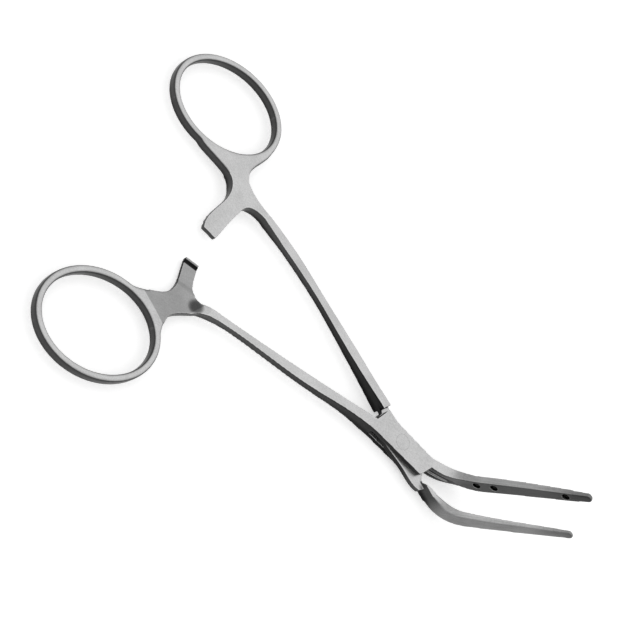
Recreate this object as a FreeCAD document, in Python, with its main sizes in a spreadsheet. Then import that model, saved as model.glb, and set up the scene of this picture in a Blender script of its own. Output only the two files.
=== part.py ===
"""Tube occluding clamp: a ring-handled clamp with a box lock and two jaws bent up from the handles.

The box half carries the slotted box of the lock, the tongue half passes through the slot, and a
flush rivet holds both.  The frame is that of the box half: the origin is on the rivet's axis at the
underside of the box, +X runs along the closed clamp toward the jaws, +Z is up, and the box half's
handle lies on the -Y side.
"""
import FreeCAD, Part
import math
import os

import Sketcher

SIZES = {
    # lock
    "box_thickness": 4.6,
    "tongue_thickness": 1.6,
    "slot_play": 0.05,
    "slot_radius": 9.6,
    "tongue_radius": 9.4,
    "shoulder_radius": 10.3,
    "ramp_foot_radius": 11.3,
    "ramp_head_radius": 13.4,
    "rivet_diameter": 4.0,
    "rivet_play": 0.03,
    "rest_opening": 8.65,
    # handles
    "ring_thickness": 3.1,
    "ring_band": 2.05,
    "ring_edge": 0.7,
    "shank_thickness": 2.2,
    "shank_edge": 0.45,
    "box_hole_length": 32.2,
    "box_hole_width": 25.5,
    "box_hole_turn": 26.0,
    "tongue_hole_length": 31.4,
    "tongue_hole_width": 24.7,
    "tongue_hole_turn": 24.1,
    # ratchet
    "ratchet_play": 0.1,
    "tooth_height": 0.55,
    # jaws
    "jaw_rise": 60.5,
    "jaw_bend_start": 15.0,
    "jaw_bend_radius": 10.0,
    "jaw_length": 31.4,
    "jaw_root_height": 4.0,
    "jaw_tip_height": 2.7,
    "jaw_back_edge": 1.0,
    "pin_hole_diameter": 2.2,
    "pin_hole_depth": 1.2,
}

os.makedirs("parts", exist_ok=True)
doc = FreeCAD.newDocument("tube_occluding_clamp")
sheet = doc.addObject("Spreadsheet::Sheet", "Sizes")
for row, (alias, value) in enumerate(SIZES.items(), start=1):
    sheet.set("A%d" % row, alias)
    sheet.set("B%d" % row, str(value))
    sheet.setAlias("B%d" % row, alias)
doc.recompute()


def size(alias):
    """A driving dimension as it stands in the sheet."""
    return float(sheet.get(alias))


def bind(feature, prop, formula):
    """Tie a property to cells of the sheet, named between square brackets."""
    feature.setExpression(prop, formula.replace("[", "Sizes.").replace("]", ""))


def polar(radius, angle):
    """A plan point at a radius and an angle in degrees about the rivet."""
    return (radius * math.cos(math.radians(angle)), radius * math.sin(math.radians(angle)))


def vec(point):
    """A flat point as a vector."""
    return FreeCAD.Vector(point[0], point[1], 0)


def new_body(name):
    """An empty body."""
    return doc.addObject("PartDesign::Body", name)


def plane_of(body, role):
    """One of a body's own origin planes."""
    return next(item for item in body.Origin.OriginFeatures if item.Role == role)


def new_sketch(body, name, role="XY_Plane", offset=0.0):
    """A sketch on an origin plane of its body, moved along the plane's normal."""
    sketch = body.newObject("Sketcher::SketchObject", name)
    sketch.AttachmentSupport = [(plane_of(body, role), "")]
    sketch.MapMode = "FlatFace"
    sketch.AttachmentOffset = FreeCAD.Placement(FreeCAD.Vector(0, 0, offset), FreeCAD.Rotation())
    return sketch


class Outline:
    """A closed chain of lines, arcs and smooth curves in a sketch."""

    def __init__(self, sketch, start):
        self.sketch = sketch
        self.first = start
        self.last = start
        self.pieces = []

    def line(self, *points):
        """Straight edges through the points."""
        for point in points:
            self.add(Part.LineSegment(vec(self.last), vec(point)), point)
        return self

    def arc(self, through, point):
        """A round edge through one point to the next."""
        self.add(Part.Arc(vec(self.last), vec(through), vec(point)), point)
        return self

    def curve(self, *points):
        """A smooth edge through the points."""
        spline = Part.BSplineCurve()
        spline.interpolate([vec(point) for point in (self.last,) + points])
        self.add(spline, points[-1])
        return self

    def add(self, shape, point):
        """Draw one edge."""
        self.pieces.append(self.sketch.addGeometry(shape, False))
        self.last = point

    def close(self):
        """Close the chain and tie each edge's end to the next one's start."""
        if math.dist(self.last, self.first) > 1e-6:
            self.line(self.first)
        return self.sketch


def draw_ellipse(sketch, centre, length, width, turn):
    """An ellipse with its long axis turned from the sketch's X axis."""
    along = (math.cos(math.radians(turn)), math.sin(math.radians(turn)))
    end = (centre[0] + length / 2 * along[0], centre[1] + length / 2 * along[1])
    side = (centre[0] - width / 2 * along[1], centre[1] + width / 2 * along[0])
    sketch.addGeometry(Part.Ellipse(vec(end), vec(side), vec(centre)), False)
    return sketch


def pad(body, name, sketch, length, centred=False):
    """A pad of a sketch, its length tied to the sheet."""
    feature = body.newObject("PartDesign::Pad", name)
    feature.Profile = sketch
    feature.SideType = "Symmetric" if centred else "One side"
    bind(feature, "Length", length)
    doc.recompute()
    return feature


def pocket(body, name, sketch, length=None, up=True):
    """A pocket of a sketch, through everything both ways or one way to a length."""
    feature = body.newObject("PartDesign::Pocket", name)
    feature.Profile = sketch
    before = body.Shape.Volume
    if length is None:
        feature.SideType = "Symmetric"
        feature.Type = "ThroughAll"
    else:
        feature.Reversed = up
        bind(feature, "Length", length)
    doc.recompute()
    if not feature.Shape.Volume < before:
        raise RuntimeError("%s cuts nothing" % name)
    return feature


def round_edges(body, name, radius, chosen):
    """A fillet on the edges of the body that the rule picks."""
    base = body.Tip
    edges = [e for e, edge in enumerate(base.Shape.Edges, start=1) if chosen(edge)]
    if not edges:
        raise RuntimeError("%s rounds nothing" % name)
    feature = body.newObject("PartDesign::Fillet", name)
    feature.Base = (base, ["Edge%d" % e for e in edges])
    bind(feature, "Radius", radius)
    doc.recompute()
    if not feature.isValid():
        raise RuntimeError("%s failed on %d edges" % (name, len(edges)))
    return feature


def join(body, name, tool, kind="Fuse"):
    """A boolean of another body into this one."""
    feature = doc.addObject("PartDesign::Boolean", name)
    body.addObject(feature)
    feature.Type = kind
    feature.setObjects([tool])
    body.Tip = feature
    doc.recompute()
    return feature


MIDDLE = size("box_thickness") / 2
TONGUE_TOP = MIDDLE + size("tongue_thickness") / 2
TONGUE_BOTTOM = MIDDLE - size("tongue_thickness") / 2
RING_TOP = MIDDLE + size("ring_thickness") / 2
SHANK_TOP = MIDDLE + size("shank_thickness") / 2
ARM_FLOOR = MIDDLE - size("ratchet_play") / 2
FAR = 140.0


class Half:
    """What the two halves share: a ring, a shank and a ratchet arm, on the side given by sign."""

    def __init__(self, name, sign, ring_centre, hole_prefix, shank, neck, arm):
        self.name = name
        self.sign = sign
        self.ring_centre = ring_centre
        self.hole_prefix = hole_prefix
        self.shank = shank
        self.neck = neck
        self.arm = arm
        self.body = new_body(name)

    def at(self, *points):
        """Plan points drawn for a handle on the -Y side, set on this half's own side."""
        return [(x, y * self.sign) for x, y in points]

    def hole(self, extra):
        """Centre, length, width and turn of the ring's opening, grown by extra all round."""
        return (self.at(self.ring_centre)[0],
                size(self.hole_prefix + "_hole_length") + 2 * extra,
                size(self.hole_prefix + "_hole_width") + 2 * extra,
                size(self.hole_prefix + "_hole_turn"))

    def on_ring(self, angle):
        """A plan point on the middle of the ring's band, by the ellipse's own angle."""
        (x, y), length, width, turn = self.hole(size("ring_band") / 2)
        t = math.radians(turn)
        a = length / 2 * math.cos(math.radians(angle))
        b = width / 2 * math.sin(math.radians(angle))
        return (x + a * math.cos(t) - b * math.sin(t), y + a * math.sin(t) + b * math.cos(t))


def side_profile(sketch, above):
    """The waste above or below a handle: thick at the box, thin along the shank, thick at the ring."""
    def level(x, top):
        return (x, top if above else size("box_thickness") - top)
    beyond = size("box_thickness") + 3.0
    out = Outline(sketch, level(-11.5, size("box_thickness")))
    out.curve(level(-17.0, MIDDLE + 1.85), level(-26.0, MIDDLE + 1.38), level(-40.0, SHANK_TOP))
    out.line(level(-59.0, SHANK_TOP))
    out.curve(level(-63.0, (SHANK_TOP + RING_TOP) / 2), level(-67.0, RING_TOP))
    out.line(level(-FAR, RING_TOP), level(-FAR, beyond), level(-11.5, beyond))
    return out.close()


def build_ring(half):
    """The finger ring: an elliptical band, joined to the neck and opened by its hole."""
    body = half.body
    disc = new_sketch(body, half.name + "_ring_disc", offset=MIDDLE - size("ring_thickness") / 2)
    draw_ellipse(disc, *half.hole(size("ring_band")))
    pad(body, half.name + "_ring", disc, "[ring_thickness]")
    opening = new_sketch(body, half.name + "_ring_opening")
    draw_ellipse(opening, *half.hole(0.0))
    pocket(body, half.name + "_ring_hole", opening)


def jaw_side(sketch, start):
    """The jaw seen from the side: level out of the lock, a bend, and a straight run up to the tip."""
    rise = math.radians(size("jaw_rise"))
    along = (math.cos(rise), math.sin(rise))
    out_of = (math.sin(rise), -math.cos(rise))
    top = size("box_thickness")
    bend = size("jaw_bend_radius")
    bend_centre = (size("jaw_bend_start"), top + bend)
    half_way = (bend_centre[0] + bend * math.sin(rise / 2), bend_centre[1] - bend * math.cos(rise / 2))
    bend_end = (bend_centre[0] + bend * math.sin(rise), bend_centre[1] - bend * math.cos(rise))
    tip = (bend_end[0] + size("jaw_length") * along[0], bend_end[1] + size("jaw_length") * along[1])
    low_tip = (tip[0] + size("jaw_tip_height") * out_of[0], tip[1] + size("jaw_tip_height") * out_of[1])
    low_root = (bend_end[0] + size("jaw_root_height") * out_of[0],
                bend_end[1] + size("jaw_root_height") * out_of[1])
    slope = math.atan2(low_tip[1] - low_root[1], low_tip[0] - low_root[0])
    reach = low_root[1] / math.sin(slope)
    low_start = (low_root[0] - low_root[1] / math.tan(slope) - reach, 0.0)
    low_radius = reach / math.tan(slope / 2)
    low_half_way = (low_start[0] + low_radius * math.sin(slope / 2),
                    low_radius * (1 - math.cos(slope / 2)))
    tip_bulge = ((tip[0] + low_tip[0]) / 2 + 0.9 * along[0], (tip[1] + low_tip[1]) / 2 + 0.9 * along[1])
    out = Outline(sketch, (start, top))
    out.line((size("jaw_bend_start"), top)).arc(half_way, bend_end).line(tip)
    out.arc(tip_bulge, low_tip).line(low_root).arc(low_half_way, low_start).line((start, 0.0))
    return out.close()


def build_jaw(name, sign, start, inner, outer):
    """One jaw as a body of its own: its side view and its plan both cut from one block."""
    body = new_body(name)
    pad(body, name + "_blank", jaw_side(new_sketch(body, name + "_side", "XZ_Plane"), start),
        "20", centred=True)
    far_x = 60.0
    far_y = 15.0
    keep = [(x, y * sign) for x, y in inner]
    inside = Outline(new_sketch(body, name + "_seat_plan"), keep[0])
    inside.curve(*keep[1:]).line((far_x, keep[-1][1]), (far_x, -far_y * sign), (0.0, -far_y * sign))
    inside.line((0.0, keep[0][1]))
    pocket(body, name + "_seat", inside.close())
    keep = [(x, y * sign) for x, y in outer]
    outside = Outline(new_sketch(body, name + "_back_plan"), keep[0])
    outside.curve(*keep[1:]).line((far_x, keep[-1][1]), (far_x, far_y * sign), (0.0, far_y * sign))
    outside.line((0.0, keep[0][1]))
    pocket(body, name + "_back", outside.close())
    return body


JAW_BACK = ((9.0, 2.5), (11.6, 3.2), (15.9, 4.35), (21.0, 5.6), (26.2, 5.85), (38.3, 4.6), (43.0, 4.1))
BOX_JAW_SEAT = ((9.0, 0.15), (11.2, 0.2), (14.2, 0.75), (17.1, 1.65), (19.5, 2.6), (22.0, 3.4), (25.0, 3.6),
                (38.0, 3.15), (43.0, 3.0))
TONGUE_JAW_SEAT = ((9.0, 2.9), (14.0, 2.9), (17.75, 2.6), (20.4, 2.9), (22.9, 3.35), (25.5, 3.6),
                   (38.0, 3.15), (43.0, 3.0))
JAW_START = 9.8


def build_arm_waste():
    """What is ground off the top of the box half's arm, down to where the other arm slides over it."""
    body = new_body("box_arm_waste")
    rise = Outline(new_sketch(body, "box_arm_rise", "YZ_Plane", -60.0), (2.0, ARM_FLOOR))
    rise.line((-12.0, ARM_FLOOR), (-21.0, RING_TOP), (-21.0, 8.0), (2.0, 8.0))
    block = pad(body, "box_arm_waste_block", rise.close(), "35")
    block.Reversed = True
    doc.recompute()
    valley = Outline(new_sketch(body, "box_arm_valley", "XZ_Plane"), (-70.5, ARM_FLOOR))
    valley.line((-58.0, ARM_FLOOR + 3.6), (-58.0, 0.0), (-70.5, 0.0))
    pocket(body, "box_arm_waste_shank", valley.close())
    return body


def build_box_half():
    """The half with the slotted box; its handle is on the -Y side and its jaw on the +Y side."""
    half = Half("box_half", 1, (-88.75, -35.57), "box", None, None, None)
    body = half.body
    plan = Outline(new_sketch(body, "box_half_plan"), (-9.8, 0.1))
    plan.line((-8.2, 4.2), (10.7, 2.75), (11.2, 0.1), (9.4, -3.5), (8.8, -4.1))
    plan.line((-8.1, -3.3))
    plan.curve((-13.1, -3.5), (-18.1, -3.95), (-28.1, -5.8), (-48.0, -8.45), (-57.8, -9.75), (-62.6, -10.8),
               (-67.5, -12.6))
    plan.curve((-72.5, -17.2), (-74.4, -20.2), (-74.0, -24.6), half.on_ring(-20))
    plan.line(half.on_ring(40), half.on_ring(75))
    plan.curve((-86.0, -19.8), (-81.8, -17.2), (-77.4, -13.0), (-76.7, -10.5), (-77.1, -6.5), (-78.2, -1.3))
    plan.line((-74.0, -0.8))
    plan.curve((-72.8, -5.5), (-71.4, -8.2), (-69.4, -9.5), (-67.0, -9.3))
    plan.curve((-57.6, -7.65), (-42.9, -5.25), (-27.8, -2.7), (-17.65, -1.1), (-9.8, 0.1))
    pad(body, "box_half_blank", plan.close(), "[box_thickness]")
    pocket(body, "box_half_top_waste", side_profile(new_sketch(body, "box_half_top", "XZ_Plane"), True))
    pocket(body, "box_half_low_waste", side_profile(new_sketch(body, "box_half_low", "XZ_Plane"), False))
    build_ring(half)
    join(body, "box_arm_recess", build_arm_waste(), "Cut")
    slot = new_sketch(body, "box_slot_plan", offset=TONGUE_BOTTOM - size("slot_play"))
    r = size("slot_radius")
    gap = Outline(slot, polar(r, 177.5))
    gap.arc(polar(r, 189), polar(r, 200)).line(polar(13, 200), (-12.0, -9.0), (14.0, -9.0), polar(13, -2))
    gap.line(polar(r, -2)).arc(polar(r, 9), polar(r, 20)).line(polar(13, 20), (13.0, 9.0), (-12.0, 9.0))
    gap.line(polar(13, 177.5)).close()
    pocket(body, "box_slot", slot, "[tongue_thickness] + 2 * [slot_play]", up=True)
    jaw = build_jaw("box_jaw", 1, JAW_START, BOX_JAW_SEAT, JAW_BACK)
    join(body, "box_half_whole", jaw)
    return body


def build_tongue_half():
    """The half with the tongue, drawn closed; its handle is on the +Y side and its jaw on the -Y side."""
    half = Half("tongue_half", -1, (-96.03, -29.99), "tongue", None, None, None)
    body = half.body
    s = size("shoulder_radius")
    plan = Outline(new_sketch(body, "tongue_half_plan"), polar(s, 165.3))
    plan.arc(polar(s, 157.0), polar(s, 149.5))
    plan.curve(*half.at((-14.4, -6.5), (-24.6, -9.2), (-35.1, -11.5), (-45.4, -13.6), (-55.8, -15.6),
                        (-66.7, -16.3), (-72.0, -16.4), (-77.1, -17.6)))
    plan.curve(*half.at((-79.2, -19.4), (-79.7, -21.5)), half.on_ring(0))
    plan.line(half.on_ring(-60), half.on_ring(-100))
    plan.curve(*half.at((-95.2, -15.5), (-86.1, -15.2), (-82.1, -14.2), (-80.3, -11.3), (-79.9, -8.3),
                        (-79.3, 3.6)))
    plan.line(*half.at((-75.0, 3.2)))
    plan.curve(*half.at((-75.0, -2.2), (-74.8, -8.7), (-74.0, -12.0), (-71.4, -13.7), (-67.0, -13.9)))
    plan.curve(*half.at((-55.0, -12.6), (-41.0, -10.2), (-30.7, -7.6), (-20.4, -5.1)), polar(s, 165.3))
    pad(body, "tongue_half_blank", plan.close(), "[box_thickness]")
    pocket(body, "tongue_half_top_waste", side_profile(new_sketch(body, "tongue_half_top", "XZ_Plane"), True))
    pocket(body, "tongue_half_low_waste", side_profile(new_sketch(body, "tongue_half_low", "XZ_Plane"), False))
    build_ring(half)
    recess = Outline(new_sketch(body, "tongue_arm_profile", "YZ_Plane", -72.0), (-5.0, MIDDLE + size("ratchet_play") / 2))
    floor = MIDDLE + size("ratchet_play") / 2
    recess.line((8.5, floor), (13.0, MIDDLE - size("ring_thickness") / 2), (13.0, -2.0), (-5.0, -2.0))
    pocket(body, "tongue_arm_recess", recess.close(), "9.5", up=False)
    tongue = Outline(new_sketch(body, "tongue_plan", offset=TONGUE_BOTTOM), (-12.0, 5.6))
    t = size("tongue_radius")
    tongue.curve((-8.9, 5.3), (-3.2, 4.4), (3.0, 3.7), polar(t, 18.6))
    tongue.arc(polar(t, 7.0), polar(t, -5.0)).line((10.5, -1.0), (11.3, -2.4), (14.0, -3.2), (12.5, -5.4))
    tongue.curve((9.6, -5.7), (6.0, -5.0), (-0.2, -4.2), polar(t, 200.5))
    tongue.arc(polar(t, 183.0), polar(t, 166.0)).line((-12.0, 3.1))
    pad(body, "tongue", tongue.close(), "[tongue_thickness]")
    jaw = build_jaw("tongue_jaw", -1, JAW_START, TONGUE_JAW_SEAT, JAW_BACK)
    foot = size("ramp_foot_radius")
    head = size("ramp_head_radius")
    top = size("box_thickness")
    ramp = Outline(new_sketch(jaw, "ramp_profile", "XZ_Plane"), (0.0, TONGUE_TOP))
    ramp.line((foot, TONGUE_TOP), (head, top), (head, top + 3.0), (0.0, top + 3.0))
    cut = jaw.newObject("PartDesign::Groove", "ramp_top")
    cut.Profile = ramp.close()
    cut.ReferenceAxis = (cut.Profile[0], ["V_Axis"])
    cut.Angle = 360.0
    doc.recompute()
    ramp = Outline(new_sketch(jaw, "ramp_low_profile", "XZ_Plane"), (0.0, TONGUE_BOTTOM))
    ramp.line((foot, TONGUE_BOTTOM), (head, 0.0), (head, -3.0), (0.0, -3.0))
    cut = jaw.newObject("PartDesign::Groove", "ramp_low")
    cut.Profile = ramp.close()
    cut.ReferenceAxis = (cut.Profile[0], ["V_Axis"])
    cut.Angle = 360.0
    doc.recompute()
    join(body, "tongue_half_whole", jaw)
    return body


def bore(body, name, play=0.0):
    """The rivet's hole through a half."""
    hole = new_sketch(body, name + "_plan")
    hole.addGeometry(Part.Circle(FreeCAD.Vector(0, 0, 0), FreeCAD.Vector(0, 0, 1),
                                 size("rivet_diameter") / 2 + play), False)
    pocket(body, name, hole)


def build_rivet():
    """The flush rivet through the lock."""
    body = new_body("rivet")
    plan = new_sketch(body, "rivet_plan")
    plan.addGeometry(Part.Circle(FreeCAD.Vector(0, 0, 0), FreeCAD.Vector(0, 0, 1),
                                 size("rivet_diameter") / 2), False)
    pad(body, "rivet_shank", plan, "[box_thickness]")
    return body


box_half = build_box_half()
bore(box_half, "box_bore")
tongue_half = build_tongue_half()
bore(tongue_half, "tongue_bore", size("rivet_play"))
tongue_half.Placement = FreeCAD.Placement(FreeCAD.Vector(0, 0, 0),
                                          FreeCAD.Rotation(FreeCAD.Vector(0, 0, 1), -size("rest_opening")))
rivet = build_rivet()
doc.recompute()

for item in doc.Objects:
    if "Invalid" in item.State or "Error" in item.State:
        raise RuntimeError("%s is not valid" % item.Name)
for body in (box_half, tongue_half, rivet):
    shape = body.Shape
    if shape.isNull() or not shape.isValid() or len(shape.Solids) != 1:
        raise RuntimeError("%s has no single valid solid" % body.Label)
    shape.exportStep("parts/%s.step" % body.Label)
    box = shape.BoundBox
    print("%s volume %.1f mm3, X %.2f..%.2f, Y %.2f..%.2f, Z %.2f..%.2f"
          % (body.Label, shape.Volume, box.XMin, box.XMax, box.YMin, box.YMax, box.ZMin, box.ZMax))
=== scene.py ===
"""Tube occluding clamp: satin steel finishes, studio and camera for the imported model."""

import logging
import math
from dataclasses import dataclass
from enum import Enum
from typing import Any

import bmesh
import bpy
from mathutils import Matrix, Vector
from mathutils.bvhtree import BVHTree


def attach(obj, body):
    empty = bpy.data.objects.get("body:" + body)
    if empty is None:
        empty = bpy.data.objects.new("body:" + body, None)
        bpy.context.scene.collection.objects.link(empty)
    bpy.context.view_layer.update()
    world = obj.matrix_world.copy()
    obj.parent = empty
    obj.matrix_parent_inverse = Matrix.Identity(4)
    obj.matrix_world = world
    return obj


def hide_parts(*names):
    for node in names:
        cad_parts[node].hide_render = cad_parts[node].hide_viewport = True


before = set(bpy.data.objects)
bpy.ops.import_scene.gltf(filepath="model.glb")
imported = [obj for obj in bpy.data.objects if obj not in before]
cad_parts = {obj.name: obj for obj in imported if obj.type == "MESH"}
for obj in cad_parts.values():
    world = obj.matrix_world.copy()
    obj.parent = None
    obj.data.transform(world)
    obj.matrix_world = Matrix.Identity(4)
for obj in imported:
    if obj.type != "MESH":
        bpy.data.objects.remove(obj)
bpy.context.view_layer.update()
MM = 0.001
PER_MM = 1000.0
Plan = tuple[float, float]
Place = tuple[float, float, float]
log = logging.getLogger("clamp")


class Body(str, Enum):
    """The bodies that the clamp's pieces ride on."""

    BOX = "box_side"
    TONGUE = "tongue_side"


class Turn(str, Enum):
    """The axis that a stretch of metal is turned about, to bring its length onto X."""

    PLAN = "Z_AXIS"
    RISE = "Y_AXIS"


@dataclass(frozen=True)
class Band:
    """A smooth step: readings from low to high give results from start to end."""

    low: float
    high: float
    start: float = 0.0
    end: float = 1.0


class Wiring:
    """The node tree of one material, and the one way that nodes join it."""

    def __init__(self, tree: bpy.types.NodeTree) -> None:
        """Take the tree to work on."""
        self.tree = tree

    def feed(self, node: bpy.types.Node, values: dict[str | int, Any]) -> None:
        """Feed a node's inputs.

        Args:
            node: The node.
            values: For each input, a socket to link or a plain value to set.
        """
        for name, value in values.items():
            if isinstance(value, Socket):
                self.tree.links.new(value.out, node.inputs[name])
            else:
                node.inputs[name].default_value = value

    def node(self, kind: str, settings: dict[str, Any], values: dict[str | int, Any]) -> bpy.types.Node:
        """Add a node.

        Args:
            kind: The node's type.
            settings: Its own settings, which are set first.
            values: For each input, a socket to link or a plain value to set.

        Returns:
            The new node.
        """
        node = self.tree.nodes.new(kind)
        for name, value in settings.items():
            setattr(node, name, value)
        self.feed(node, values)
        return node

    def math(self, operation: str, *operands: Any) -> "Socket":
        """The result of one operation on sockets or numbers, such as "MULTIPLY"."""
        node = self.node("ShaderNodeMath", {"operation": operation}, dict(enumerate(operands)))
        return Socket(self, node.outputs[0])


class Socket:
    """A shader value that can be added, subtracted and multiplied like a number."""

    def __init__(self, wiring: Wiring, out: bpy.types.NodeSocket) -> None:
        """Wrap one output of a node."""
        self.wiring = wiring
        self.out = out

    def __add__(self, other: Any) -> "Socket":
        """The sum."""
        return self.wiring.math("ADD", self, other)

    def __radd__(self, other: Any) -> "Socket":
        """The sum, with this value last."""
        return self.wiring.math("ADD", other, self)

    def __sub__(self, other: Any) -> "Socket":
        """The difference."""
        return self.wiring.math("SUBTRACT", self, other)

    def __rsub__(self, other: Any) -> "Socket":
        """The difference, with this value last."""
        return self.wiring.math("SUBTRACT", other, self)

    def __mul__(self, other: Any) -> "Socket":
        """The product."""
        return self.wiring.math("MULTIPLY", self, other)

    def __rmul__(self, other: Any) -> "Socket":
        """The product, with this value last."""
        return self.wiring.math("MULTIPLY", other, self)

    def __abs__(self) -> "Socket":
        """The value without its sign."""
        return self.wiring.math("ABSOLUTE", self)

    def through(self, band: Band) -> "Socket":
        """Map the value smoothly.

        Args:
            band: The readings, and the results that they give.

        Returns:
            The mapped value.
        """
        values = {"Value": self, "From Min": band.low, "From Max": band.high,
                  "To Min": band.start, "To Max": band.end}
        node = self.wiring.node("ShaderNodeMapRange", {"interpolation_type": "SMOOTHSTEP"}, values)
        return Socket(self.wiring, node.outputs["Result"])

    def between(self, low: Any, high: Any) -> "Socket":
        """Blend two values by this one.

        Args:
            low: The value where this one is 0.
            high: The value where this one is 1.

        Returns:
            The blended value.
        """
        values = {"Factor": self, "A": low, "B": high}
        node = self.wiring.node("ShaderNodeMix", {"data_type": "FLOAT"}, values)
        return Socket(self.wiring, node.outputs["Result"])

    def parts(self) -> tuple["Socket", "Socket", "Socket"]:
        """The X, Y and Z of a vector."""
        node = self.wiring.node("ShaderNodeSeparateXYZ", {}, {"Vector": self})
        return tuple(Socket(self.wiring, out) for out in node.outputs)


@dataclass(frozen=True)
class Spot:
    """The point of a surface that is being shaded.

    It has its object coordinates, the same in millimetres, how far its normal points up or down,
    how far it points sideways, and how sharply the surface bends, where 0.5 is flat.
    """

    place: Socket
    x: Socket
    y: Socket
    z: Socket
    upright: Socket
    sideways: Socket
    bend: Socket

    @classmethod
    def read(cls, wiring: Wiring) -> "Spot":
        """Read the point.

        Args:
            wiring: The material's node tree.

        Returns:
            The point's values.
        """
        place = Socket(wiring, wiring.node("ShaderNodeTexCoord", {}, {}).outputs["Object"])
        x, y, z = (part * PER_MM for part in place.parts())
        surface = wiring.node("ShaderNodeNewGeometry", {}, {}).outputs
        _, sideways, upright = Socket(wiring, surface["Normal"]).parts()
        return cls(place, x, y, z, abs(upright), abs(sideways), Socket(wiring, surface["Pointiness"]))


@dataclass(frozen=True)
class Shade:
    """A darker stretch of the steel, with the share of its size over which its edge fades."""

    soft: float
    shade: float

    def reach(self, spot: Spot) -> Socket:
        """How far a point lies from the stretch's middle, where 1 is its edge."""
        raise NotImplementedError

    def tint(self, spot: Spot) -> Socket:
        """What the steel's brightness is multiplied by at a point."""
        inside = 1.0 - self.reach(spot).through(Band(1.0 - self.soft, 1.0 + self.soft))
        return inside.through(Band(0.0, 1.0, 1.0, self.shade))


@dataclass(frozen=True)
class Patch(Shade):
    """A darker stretch of the flat steel, such as the ground plate or the tooth's painted shade: a turned
    rectangle in plan, in millimetres.
    """

    centre: Plan
    half_size: Plan
    turn: float

    def reach(self, spot: Spot) -> Socket:
        """Measure along the rectangle's own sides.

        Args:
            spot: The point.

        Returns:
            The distance from the middle, where 1 is the edge.
        """
        x, y = spot.x - self.centre[0], spot.y - self.centre[1]
        cos, sin = math.cos(self.turn), math.sin(self.turn)
        along = abs(x * cos + y * sin) * (1.0 / self.half_size[0])
        across = abs(y * cos - x * sin) * (1.0 / self.half_size[1])
        return along.wiring.math("MAXIMUM", along, across)


@dataclass(frozen=True)
class Hollow(Shade):
    """A round hollow that the light hardly reaches, in millimetres."""

    centre: Place
    radius: float

    def reach(self, spot: Spot) -> Socket:
        """Measure from the hollow's middle.

        Args:
            spot: The point.

        Returns:
            The square of the distance, where 1 is the edge.
        """
        steps = [(part - middle) * (1.0 / self.radius)
                 for part, middle in zip((spot.x, spot.y, spot.z), self.centre)]
        return sum(step * step for step in steps)


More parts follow.
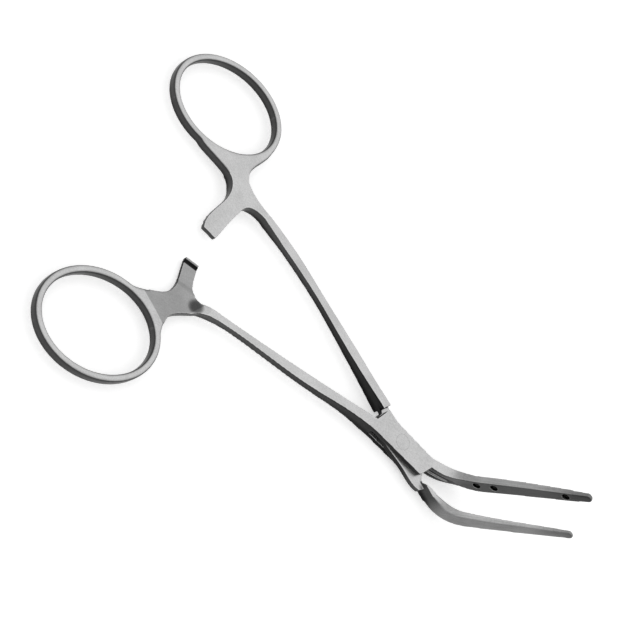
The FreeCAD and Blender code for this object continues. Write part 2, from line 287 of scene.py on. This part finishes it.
@dataclass(frozen=True)
class SatinSteel:
    """Stainless steel, blasted to a fine satin grain and brushed lightly along the jaws.

    The handles and the lock lie flat, so a face is a top when its normal points up or down.
    The jaws rise steeply, so there a face is a top when its normal has little of Y.
    Tops get a painted highlight and the other faces get painted shade.
    Lengths are in millimetres.
    """

    name: str
    shank_turn: float = 0.0
    # Painted light and shade on the jaws: faces that point sideways are this dark, tops this bright.
    shaded_jaw_wall: float = 0.20
    lit_jaw_top: float = 0.47
    shades: tuple[Shade, ...] = ()
    # Painted light: tops get this brightness, and walls get painted shade that is darker towards the floor.
    face: float = 0.60
    shaded_wall: Band = Band(1.0, 2.6, 0.011, 0.058)
    top_faces: Band = Band(0.72, 0.995)
    side_faces: Band = Band(0.35, 0.95)
    jaw_begins: Band = Band(15.0, 21.0)
    jaw_rise: float = math.radians(60.5)
    # Painted shade: the jaws grow darker with height towards their tips.
    jaw_height_shade: Band = Band(24.0, 38.0, 1.0, 0.55)
    # Painted shade: walls are darkened between these places along X, around the lock.
    toward_lock: Band = Band(-62.0, -16.0)
    past_lock: Band = Band(2.0, 10.0)
    lock_wall_shade: Band = Band(0.0, 1.0, 1.0, 0.4)
    # Painted highlight where the surface bends sharply outward, painted shade where it bends inward.
    rim_highlight_band: Band = Band(0.508, 0.545)
    rim_highlight_gain: float = 0.40
    crease_shade_band: Band = Band(0.42, 0.485, -0.55, 0.0)
    grain_size: float = 0.34
    grain_detail: float = 2.0
    grain_swing: Band = Band(0.3, 0.7, -0.09, 0.09)
    cloud_size: float = 7.0
    cloud_detail: float = 3.0
    cloud_swing: Band = Band(0.3, 0.7, -0.05, 0.05)
    streak_width: float = 0.28
    streak_stretch: float = 0.05
    streak_detail: float = 3.0
    streak_swing: Band = Band(0.3, 0.7, -1.0, 1.0)
    handle_streaks: float = 0.03
    jaw_streaks: float = 0.10
    roughness: Band = Band(0.2, 0.8, 0.31, 0.43)
    relief: float = 0.35
    relief_depth: float = 0.02
    streak_relief: float = 0.5

    def noise(self, place: Socket, size: float, detail: float) -> Socket:
        """Draw an even noise.

        Args:
            place: The coordinates that it follows.
            size: How large its grains are.
            detail: How many finer layers it has.

        Returns:
            The noise, from 0 to 1.
        """
        values = {"Vector": place, "Scale": 1.0 / (size * MM), "Detail": detail}
        return Socket(place.wiring, place.wiring.node("ShaderNodeTexNoise", {}, values).outputs[0])

    def streaks(self, place: Socket, turn: Turn, angle: float) -> Socket:
        """Draw the brush marks: noise drawn out along the metal.

        Args:
            place: The object coordinates.
            turn: The axis that the metal's length is turned about.
            angle: The angle that brings its length onto X.

        Returns:
            The noise, from 0 to 1.
        """
        wiring = place.wiring
        turned = wiring.node("ShaderNodeVectorRotate", {"rotation_type": turn.value},
                             {"Vector": place, "Angle": angle})
        drawn = wiring.node("ShaderNodeVectorMath", {"operation": "MULTIPLY"},
                            {0: Socket(wiring, turned.outputs[0]), 1: (self.streak_stretch, 1.0, 1.0)})
        return self.noise(Socket(wiring, drawn.outputs[0]), self.streak_width, self.streak_detail)

    def painted_light_tone(self, spot: Spot, jaw: Socket) -> Socket:
        """Painted light and shade before any grain: bright tops, darker walls and jaw sides, darker jaw
        tips.

        Args:
            spot: The point.
            jaw: 0 on the handles and 1 on the jaw.

        Returns:
            The brightness.
        """
        near_lock = spot.x.through(self.toward_lock) * (1.0 - spot.x.through(self.past_lock))
        shaded_wall = spot.z.through(self.shaded_wall) * near_lock.through(self.lock_wall_shade)
        handle = spot.upright.through(self.top_faces).between(shaded_wall, self.face)
        blade = (1.0 - spot.sideways.through(self.side_faces)).between(self.shaded_jaw_wall, self.lit_jaw_top)
        return jaw.between(handle, blade) * spot.z.through(self.jaw_height_shade)

    def tone(self, spot: Spot, jaw: Socket, grain: Socket, brushed: Socket) -> Socket:
        """How bright the metal is, with its grain, a painted highlight on sharp bends, painted shade in
        hollow bends and its darker stretches.

        Args:
            spot: The point.
            jaw: 0 on the handles and 1 on the jaw.
            grain: The blasted grain.
            brushed: The brush marks.

        Returns:
            The grey of the base colour.
        """
        cloud = self.noise(spot.place, self.cloud_size, self.cloud_detail)
        fine = grain.through(self.grain_swing) + cloud.through(self.cloud_swing)
        marks = brushed.through(self.streak_swing) * jaw.between(self.handle_streaks, self.jaw_streaks)
        # Painted highlight on sharp outward bends and painted shade in inward bends.
        edges = spot.bend.through(self.rim_highlight_band) * self.rim_highlight_gain + spot.bend.through(self.crease_shade_band)
        tone = self.painted_light_tone(spot, jaw) * (1.0 + fine + marks + edges)
        for shade in self.shades:
            tone = tone * shade.tint(spot)
        return tone

    def build(self) -> bpy.types.Material:
        """Make the material.

        Returns:
            The finished material.
        """
        material = bpy.data.materials.new(self.name)
        material.use_nodes = True
        wiring = Wiring(material.node_tree)
        spot = Spot.read(wiring)
        jaw = spot.x.through(self.jaw_begins)
        grain = self.noise(spot.place, self.grain_size, self.grain_detail)
        brushed = jaw.between(self.streaks(spot.place, Turn.PLAN, self.shank_turn),
                              self.streaks(spot.place, Turn.RISE, self.jaw_rise))
        tone = self.tone(spot, jaw, grain, brushed)
        grey = wiring.node("ShaderNodeCombineColor", {}, {"Red": tone, "Green": tone, "Blue": tone})
        bump = wiring.node("ShaderNodeBump", {},
                           {"Strength": self.relief, "Distance": self.relief_depth * MM,
                            "Height": grain + brushed * self.streak_relief})
        wiring.feed(material.node_tree.nodes["Principled BSDF"],
                    {"Base Color": Socket(wiring, grey.outputs[0]), "Metallic": 1.0,
                     "Roughness": grain.through(self.roughness),
                     "Normal": Socket(wiring, bump.outputs["Normal"])})
        return material


def add_block(form: bmesh.types.BMesh, ends: tuple[list[Place], list[Place]]) -> None:
    """Add a straight block.

    Args:
        form: The mesh that it joins.
        ends: Its two ends, as outlines with as many points each, in millimetres.
    """
    near, far = ([form.verts.new(Vector(point) * MM) for point in outline] for outline in ends)
    form.faces.new(near)
    form.faces.new(far)
    for index in range(len(near)):
        other = (index + 1) % len(near)
        form.faces.new((near[index], near[other], far[other], far[index]))


class Cutter:
    """What is cut out of a forged blank before its edges are softened."""

    def shape(self, solid: BVHTree) -> bmesh.types.BMesh:
        """The waste that is cut away, as closed forms."""
        raise NotImplementedError

    def build(self, blank: bpy.types.Mesh) -> bpy.types.Object:
        """Make the cutter's object.

        Args:
            blank: The mesh of the piece that is cut.

        Returns:
            An object that holds the waste.
        """
        form = bmesh.new()
        form.from_mesh(blank)
        solid = BVHTree.FromBMesh(form)
        form.free()
        waste = self.shape(solid)
        bmesh.ops.recalc_face_normals(waste, faces=waste.faces)
        mesh = bpy.data.meshes.new("waste")
        waste.to_mesh(mesh)
        waste.free()
        cutter = bpy.data.objects.new("waste", mesh)
        bpy.context.scene.collection.objects.link(cutter)
        return cutter


@dataclass(frozen=True)
class PinHoles(Cutter):
    """The blind holes in a jaw's inner face, in which a soft insert's pins sit, in millimetres."""

    places: tuple[Plan, ...] = ((24.4, 7.5), (27.1, 11.9), (37.3, 30.4))
    diameter: float = 2.2
    depth: float = 1.3
    sides: int = 32
    shadow_y: float = 4.2
    shadow_radius: float = 1.15
    shadow_soft: float = 0.15
    shadow: float = 0.12

    def shape(self, solid: BVHTree) -> bmesh.types.BMesh:
        """Sink one pin a hole into the face that it meets.

        Args:
            solid: The piece that is cut.

        Returns:
            The pins.
        """
        pins = bmesh.new()
        radius = self.diameter / 2 * MM
        for x, z in self.places:
            face = solid.ray_cast(Vector((x, 0.0, z)) * MM, Vector((0, 1, 0)))[0]
            turn = Matrix.Translation(face) @ Matrix.Rotation(math.pi / 2, 4, "X")
            bmesh.ops.create_cone(pins, cap_ends=True, segments=self.sides, radius1=radius, radius2=radius,
                                  depth=2 * self.depth * MM, matrix=turn)
        return pins

    def shadows(self) -> tuple[Shade, ...]:
        """The dark inside of each hole."""
        return tuple(Hollow(soft=self.shadow_soft, shade=self.shadow, centre=(x, self.shadow_y, z),
                            radius=self.shadow_radius) for x, z in self.places)


@dataclass(frozen=True)
class PlanCut(Cutter):
    """A straight cut along Z with a closed line of points as its plan, in millimetres."""

    points: tuple[Plan, ...]
    floor: float
    roof: float

    def shape(self, solid: BVHTree) -> bmesh.types.BMesh:
        """Raise the plan from floor to roof.

        Args:
            solid: The piece that is cut, whose place the cut doesn't need.

        Returns:
            The block.
        """
        block = bmesh.new()
        add_block(block, tuple([(x, y, z) for x, y in self.points] for z in (self.floor, self.roof)))
        return block


@dataclass(frozen=True)
class CatchGround(Cutter):
    """The ground top of the box half's ratchet arm, which leaves one cross tooth at the arm's tip.

    The waste runs along X and starts behind the crest with a slope. It leaves the arm at the heel.
    """

    ends: Plan = (-81.0, -71.0)
    tip: float = -1.05
    skew: float = 0.119
    crest: float = 0.35
    slope: float = 1.0
    depth: float = 0.5
    heel: float = -8.0
    heel_run: float = 3.0
    clear: float = 0.4
    probe: Place = (-76.0, -6.0, 20.0)

    def shape(self, solid: BVHTree) -> bmesh.types.BMesh:
        """Lay a shallow bar over the arm.

        Args:
            solid: The piece that is cut.

        Returns:
            The bar.
        """
        top = solid.ray_cast(Vector(self.probe) * MM, Vector((0, 0, -1)))[0].z * PER_MM
        start = self.tip - self.crest
        section = [(start + self.clear * self.slope / self.depth, top + self.clear),
                   (start - self.slope, top - self.depth),
                   (self.heel, top - self.depth),
                   (self.heel - self.heel_run, top + self.clear)]
        middle = sum(self.ends) / 2
        bar = bmesh.new()
        add_block(bar, tuple([(x, y + self.skew * (x - middle), z) for y, z in section] for x in self.ends))
        return bar


@dataclass(frozen=True)
class CatchTeeth(Cutter):
    """The saw teeth under the tongue half's ratchet arm, each a share of the pitch wide, in millimetres."""

    count: int = 3
    pitch: float = 1.6
    share: float = 0.9
    depth: float = 0.5
    clear: float = 0.3
    ends: Plan = (-84.0, -70.0)
    first: float = 9.6
    probe_x: float = -76.5
    probe_z: float = -5.0

    def shape(self, solid: BVHTree) -> bmesh.types.BMesh:
        """Set one wedge a tooth side by side across the arm's underside.

        Args:
            solid: The piece that is cut.

        Returns:
            The wedges.
        """
        wedges = bmesh.new()
        for number in range(self.count):
            y = self.first + number * self.pitch
            under = solid.ray_cast(Vector((self.probe_x, y, self.probe_z)) * MM, Vector((0, 0, 1)))[0]
            level = under.z * PER_MM
            section = [(y, level - self.clear), (y, level + self.depth),
                       (y + self.share * self.pitch, level - self.clear)]
            add_block(wedges, tuple([(x, *point) for point in section] for x in self.ends))
        return wedges


@dataclass(frozen=True)
class Stretch:
    """A stretch of a piece's surface that is rounded further, and how often it is averaged."""

    name: str
    times: int

    def holds(self, point: Vector) -> bool:
        """Whether a point of the surface lies on it."""
        raise NotImplementedError


@dataclass(frozen=True)
class RingBand(Stretch):
    """A finger ring: all within a radius, in millimetres."""

    name: str = "ring_band"
    times: int = 85
    centre: Plan = (0.0, 0.0)
    radius: float = 19.3

    def holds(self, point: Vector) -> bool:
        """Whether the point lies within the radius."""
        return math.hypot(point.x - self.centre[0] * MM, point.y - self.centre[1] * MM) < self.radius * MM


@dataclass(frozen=True)
class JawBack(Stretch):
    """A jaw's back: all past a place along X and on one side of a line in Y, in millimetres."""

    name: str = "jaw_back"
    times: int = 75
    start: float = 15.5
    side: float = -2.2

    def holds(self, point: Vector) -> bool:
        """Whether the point lies on the back."""
        return point.x > self.start * MM and point.y < self.side * MM


@dataclass(frozen=True)
class JawTip(Stretch):
    """A jaw's tip: all above a height, in millimetres."""

    name: str = "jaw_tip"
    times: int = 24
    height: float = 33.0

    def holds(self, point: Vector) -> bool:
        """Whether the point lies on the tip."""
        return point.z > self.height * MM


@dataclass(frozen=True)
class ForgedPiece:
    """One forged piece of the clamp, its edges softened as blasting leaves them.

    The voxel is the size, in millimetres, of the even mesh that the piece gets, and the smoothing is
    how often that mesh is averaged.
    """

    node: str
    body: Body
    voxel: float = 0.20
    smoothing: int = 3
    softness: float = 0.5

    def steel(self) -> SatinSteel:
        """The finish."""
        raise NotImplementedError

    def cutters(self) -> tuple[Cutter, ...]:
        """What is cut out of the piece, in order."""
        return ()

    def stretches(self) -> tuple[Stretch, ...]:
        """What is rounded further, in order."""
        return ()

    def blank(self) -> bpy.types.Mesh:
        """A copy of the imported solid."""
        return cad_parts[self.node].data.copy()

    def settled(self, piece: bpy.types.Object) -> None:
        """Make the modifiers' result the piece's own mesh.

        Args:
            piece: The piece, with modifiers.
        """
        graph = bpy.context.evaluated_depsgraph_get()
        mesh = bpy.data.meshes.new_from_object(piece.evaluated_get(graph))
        piece.modifiers.clear()
        piece.data = mesh

    def averaged(self, piece: bpy.types.Object, name: str, times: int) -> bpy.types.Modifier:
        """Add a modifier that averages the surface.

        Args:
            piece: The piece.
            name: The modifier's name.
            times: How often it averages.

        Returns:
            The modifier.
        """
        smooth = piece.modifiers.new(name, "SMOOTH")
        smooth.factor = self.softness
        smooth.iterations = times
        return smooth

    def evened(self, piece: bpy.types.Object) -> None:
        """Make the cuts, close the surface to an even mesh and soften its edges.

        Args:
            piece: The piece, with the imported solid's mesh.
        """
        wastes = [cutter.build(piece.data) for cutter in self.cutters()]
        for waste in wastes:
            cut = piece.modifiers.new("cut", "BOOLEAN")
            cut.operation = "DIFFERENCE"
            cut.object = waste
        remesh = piece.modifiers.new("even", "REMESH")
        remesh.mode = "VOXEL"
        remesh.voxel_size = self.voxel * MM
        remesh.use_smooth_shade = True
        self.averaged(piece, "soften", self.smoothing)
        self.settled(piece)
        for waste in wastes:
            bpy.data.objects.remove(waste)

    def rounded(self, piece: bpy.types.Object, stretch: Stretch) -> None:
        """Round one stretch of the surface further.

        Args:
            piece: The piece, with an even mesh.
            stretch: The stretch.
        """
        chosen = [vertex.index for vertex in piece.data.vertices if stretch.holds(vertex.co)]
        piece.vertex_groups.new(name=stretch.name).add(chosen, 1.0, "REPLACE")
        self.averaged(piece, stretch.name, stretch.times).vertex_group = stretch.name
        self.settled(piece)

    def dressed(self, mesh: bpy.types.Mesh) -> None:
        """Give the whole surface the finish.

        Args:
            mesh: The piece's mesh.
        """
        mesh.materials.clear()
        mesh.materials.append(self.steel().build())
        for polygon in mesh.polygons:
            polygon.use_smooth = True
            polygon.material_index = 0

    def build(self) -> bpy.types.Object:
        """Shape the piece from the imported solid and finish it.

        Returns:
            The finished piece, riding on its body.
        """
        piece = bpy.data.objects.new(self.node + "_forging", self.blank())
        bpy.context.scene.collection.objects.link(piece)
        self.evened(piece)
        for stretch in self.stretches():
            self.rounded(piece, stretch)
        self.dressed(piece.data)
        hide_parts(self.node)
        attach(piece, self.body.value)
        return piece


@dataclass(frozen=True)
class BoxHalf(ForgedPiece):
    """The half whose slotted box takes the tongue. Its jaw has the blind holes."""

    node: str = "box_half"
    body: Body = Body.BOX
    holes: PinHoles = PinHoles()
    catch: CatchGround = CatchGround()
    recess: PlanCut = PlanCut(((9.0, 0.6), (12.2, 1.25), (14.2, 1.7), (16.4, 2.25), (18.5, 2.85),
                               (20.8, 3.1), (22.0, -1.0), (9.0, -1.0)), floor=1.45, roof=3.15)
    ring: RingBand = RingBand(centre=(-88.8, -35.6))
    tip: JawTip = JawTip()
    plate: Patch = Patch(soft=0.02, shade=0.62, centre=(-75.85, -10.45), half_size=(7.3, 11.0),
                         turn=math.radians(-25.6))
    # Painted shade: the tooth's steep face is made nearly black.
    tooth_face_shade: Patch = Patch(soft=0.15, shade=0.05, centre=(-76.0, -2.15), half_size=(3.4, 0.5),
                              turn=math.radians(6.8))
    # Painted shade in the hollow where the neck rises to the shank.
    neck_hollow: Hollow = Hollow(soft=0.97, shade=0.22, centre=(-69.3, -11.5, 3.2), radius=2.1)
    shank_turn: float = math.radians(-21.8)
    shaded_jaw_wall: float = 0.065
    lit_jaw_top: float = 0.34

    def cutters(self) -> tuple[Cutter, ...]:
        """The blind holes, the catch and the recess in the jaw's root."""
        return self.holes, self.catch, self.recess

    def stretches(self) -> tuple[Stretch, ...]:
        """The ring and the jaw's tip."""
        return self.ring, self.tip

    def steel(self) -> SatinSteel:
        """The finish, with the darker ground plate and painted shade in the hollows and on the tooth's
        face.
        """
        shades = (self.plate, self.neck_hollow, self.tooth_face_shade, *self.holes.shadows())
        return SatinSteel("box_steel", self.shank_turn, self.shaded_jaw_wall, self.lit_jaw_top, shades)


@dataclass(frozen=True)
class TongueHalf(ForgedPiece):
    """The half whose tongue passes through the box. Its jaw has a round back."""

    node: str = "tongue_half"
    body: Body = Body.TONGUE
    teeth: CatchTeeth = CatchTeeth()
    ring_joint: PlanCut = PlanCut(((-74.15, 51.4), (-73.4, 49.25), (-72.95, 46.7), (-72.95, 44.05),
                                   (-73.2, 41.75), (-73.34, 40.58), (-74.29, 37.59), (-75.13, 34.89),
                                   (-75.46, 32.72), (-72.02, 33.64), (-68.4, 42.3), (-71.4, 51.3)),
                                  floor=-1.0, roof=6.0)
    ring: RingBand = RingBand(centre=(-90.4, 44.1))
    back: JawBack = JawBack()
    tip: JawTip = JawTip()
    shank_turn: float = math.radians(17.3)

    def cutters(self) -> tuple[Cutter, ...]:
        """The saw teeth, and the trimmed joint of neck and ring."""
        return self.teeth, self.ring_joint

    def stretches(self) -> tuple[Stretch, ...]:
        """The jaw's back, the ring and the jaw's tip."""
        return self.back, self.ring, self.tip

    def steel(self) -> SatinSteel:
        """The finish."""
        return SatinSteel("tongue_steel", self.shank_turn)


@dataclass(frozen=True)
class Rivet(ForgedPiece):
    """The pin of the lock, with ends that riveting has spread over the edge of their hole."""

    node: str = "rivet"
    body: Body = Body.BOX
    smoothing: int = 0
    spread: float = 0.3
    proud: float = 0.01

    def blank(self) -> bpy.types.Mesh:
        """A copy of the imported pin, with its ends spread.

        Returns:
            The copy.
        """
        mesh = super().blank()
        middle = sum(vertex.co.z for vertex in mesh.vertices) / len(mesh.vertices)
        for vertex in mesh.vertices:
            flat = Vector((vertex.co.x, vertex.co.y, 0.0))
            flat += flat.normalized() * (self.spread * MM)
            lift = math.copysign(self.proud * MM, vertex.co.z - middle)
            vertex.co = Vector((flat.x, flat.y, vertex.co.z + lift))
        return mesh

    def steel(self) -> SatinSteel:
        """The finish, without the painted highlight on sharp bends."""
        return SatinSteel("rivet_steel", rim_highlight_gain=0.0)


@dataclass(frozen=True)
class Softbox:
    """A square soft lamp: where it hangs, its distance and side in metres and its power in watts."""

    name: str
    toward: Place
    distance: float
    side: float
    power: float

    def hang(self, centre: Vector) -> None:
        """Hang the lamp so that it faces a place.

        Args:
            centre: The place.
        """
        data = bpy.data.lights.new(self.name, "AREA")
        data.size = self.side
        data.energy = self.power
        lamp = bpy.data.objects.new(self.name, data)
        bpy.context.scene.collection.objects.link(lamp)
        toward = Vector(self.toward)
        lamp.location = centre + toward.normalized() * self.distance
        lamp.rotation_euler = toward.to_track_quat("Z", "Y").to_euler()


@dataclass(frozen=True)
class Studio:
    """Plain soft light, a pale floor and the camera. Its places are in millimetres."""

    centre: Place = (-37.2, 13.1, 2.3)
    camera_place: Place = (-221.61, -332.245, 437.103)
    camera_right: Place = (0.69579, 0.38877, 0.60393)
    camera_up: Place = (-0.64536, 0.70747, 0.28811)
    sensor: float = 36.0
    lens: float = 123.75
    nearest: float = 10.0
    farthest: float = 20000.0
    floor_level: float = -0.02
    floor_reach: float = 3000.0
    floor_grey: float = 0.9
    floor_roughness: float = 0.9
    floor_lift: float = 0.42
    surround: float = 0.75
    lamps: tuple[Softbox, ...] = (Softbox("softbox_behind", (0.31525, 0.59021, 0.74314), 0.9, 0.8, 0.42),
                                  Softbox("softbox_above", (-0.2, 0.1, 1.0), 1.1, 0.8, 0.5))

    def add_camera(self) -> None:
        """Place the camera and let the scene look through it."""
        data = bpy.data.cameras.new("camera")
        data.sensor_width = self.sensor
        data.sensor_fit = "HORIZONTAL"
        data.lens = self.lens
        data.clip_start = self.nearest * MM
        data.clip_end = self.farthest * MM
        camera = bpy.data.objects.new("camera", data)
        bpy.context.scene.collection.objects.link(camera)
        right, up = Vector(self.camera_right), Vector(self.camera_up)
        turn = Matrix((right, up, right.cross(up))).transposed()
        camera.matrix_world = Matrix.Translation(Vector(self.camera_place) * MM) @ turn.to_4x4()
        bpy.context.scene.camera = camera

    def add_floor(self) -> None:
        """Lay the pale floor."""
        mesh = bpy.data.meshes.new("floor")
        shape = bmesh.new()
        bmesh.ops.create_grid(shape, x_segments=1, y_segments=1, size=self.floor_reach * MM)
        shape.to_mesh(mesh)
        shape.free()
        floor = bpy.data.objects.new("floor", mesh)
        floor.location = (0, 0, self.floor_level * MM)
        bpy.context.scene.collection.objects.link(floor)
        mesh.materials.append(self.floor_paint())

    def floor_paint(self) -> bpy.types.Material:
        """Paint that looks white to the camera and in the metal, and keeps the shadow.

        Returns:
            The floor's material.
        """
        material = bpy.data.materials.new("pale_floor")
        material.use_nodes = True
        wiring = Wiring(material.node_tree)
        rays = wiring.node("ShaderNodeLightPath", {}, {}).outputs
        kinds = ("Is Camera Ray", "Is Glossy Ray", "Is Transmission Ray")
        seen = wiring.math("MINIMUM", sum(Socket(wiring, rays[kind]) for kind in kinds), 1.0)
        grey = self.floor_grey
        wiring.feed(material.node_tree.nodes["Principled BSDF"],
                    {"Base Color": (grey, grey, grey, 1), "Roughness": self.floor_roughness,
                     "Specular IOR Level": 0.0, "Emission Color": (1, 1, 1, 1),
                     "Emission Strength": seen * self.floor_lift})
        return material

    def add_world(self) -> None:
        """Add an even pale surround."""
        world = bpy.data.worlds.new("surround")
        world.use_nodes = True
        Wiring(world.node_tree).feed(world.node_tree.nodes["Background"],
                                     {"Color": (1, 1, 1, 1), "Strength": self.surround})
        bpy.context.scene.world = world

    def build(self) -> None:
        """Set the whole studio up."""
        bpy.context.scene.view_settings.view_transform = "Standard"
        self.add_camera()
        self.add_world()
        self.add_floor()
        for lamp in self.lamps:
            lamp.hang(Vector(self.centre) * MM)


def main() -> None:
    """Dress the clamp and set up its studio."""
    logging.basicConfig(level=logging.INFO)
    for part in (BoxHalf(), TongueHalf(), Rivet()):
        piece = part.build()
        log.info("%s: %d faces", piece.name, len(piece.data.polygons))
    Studio().build()


if __name__ == "__main__":
    main()
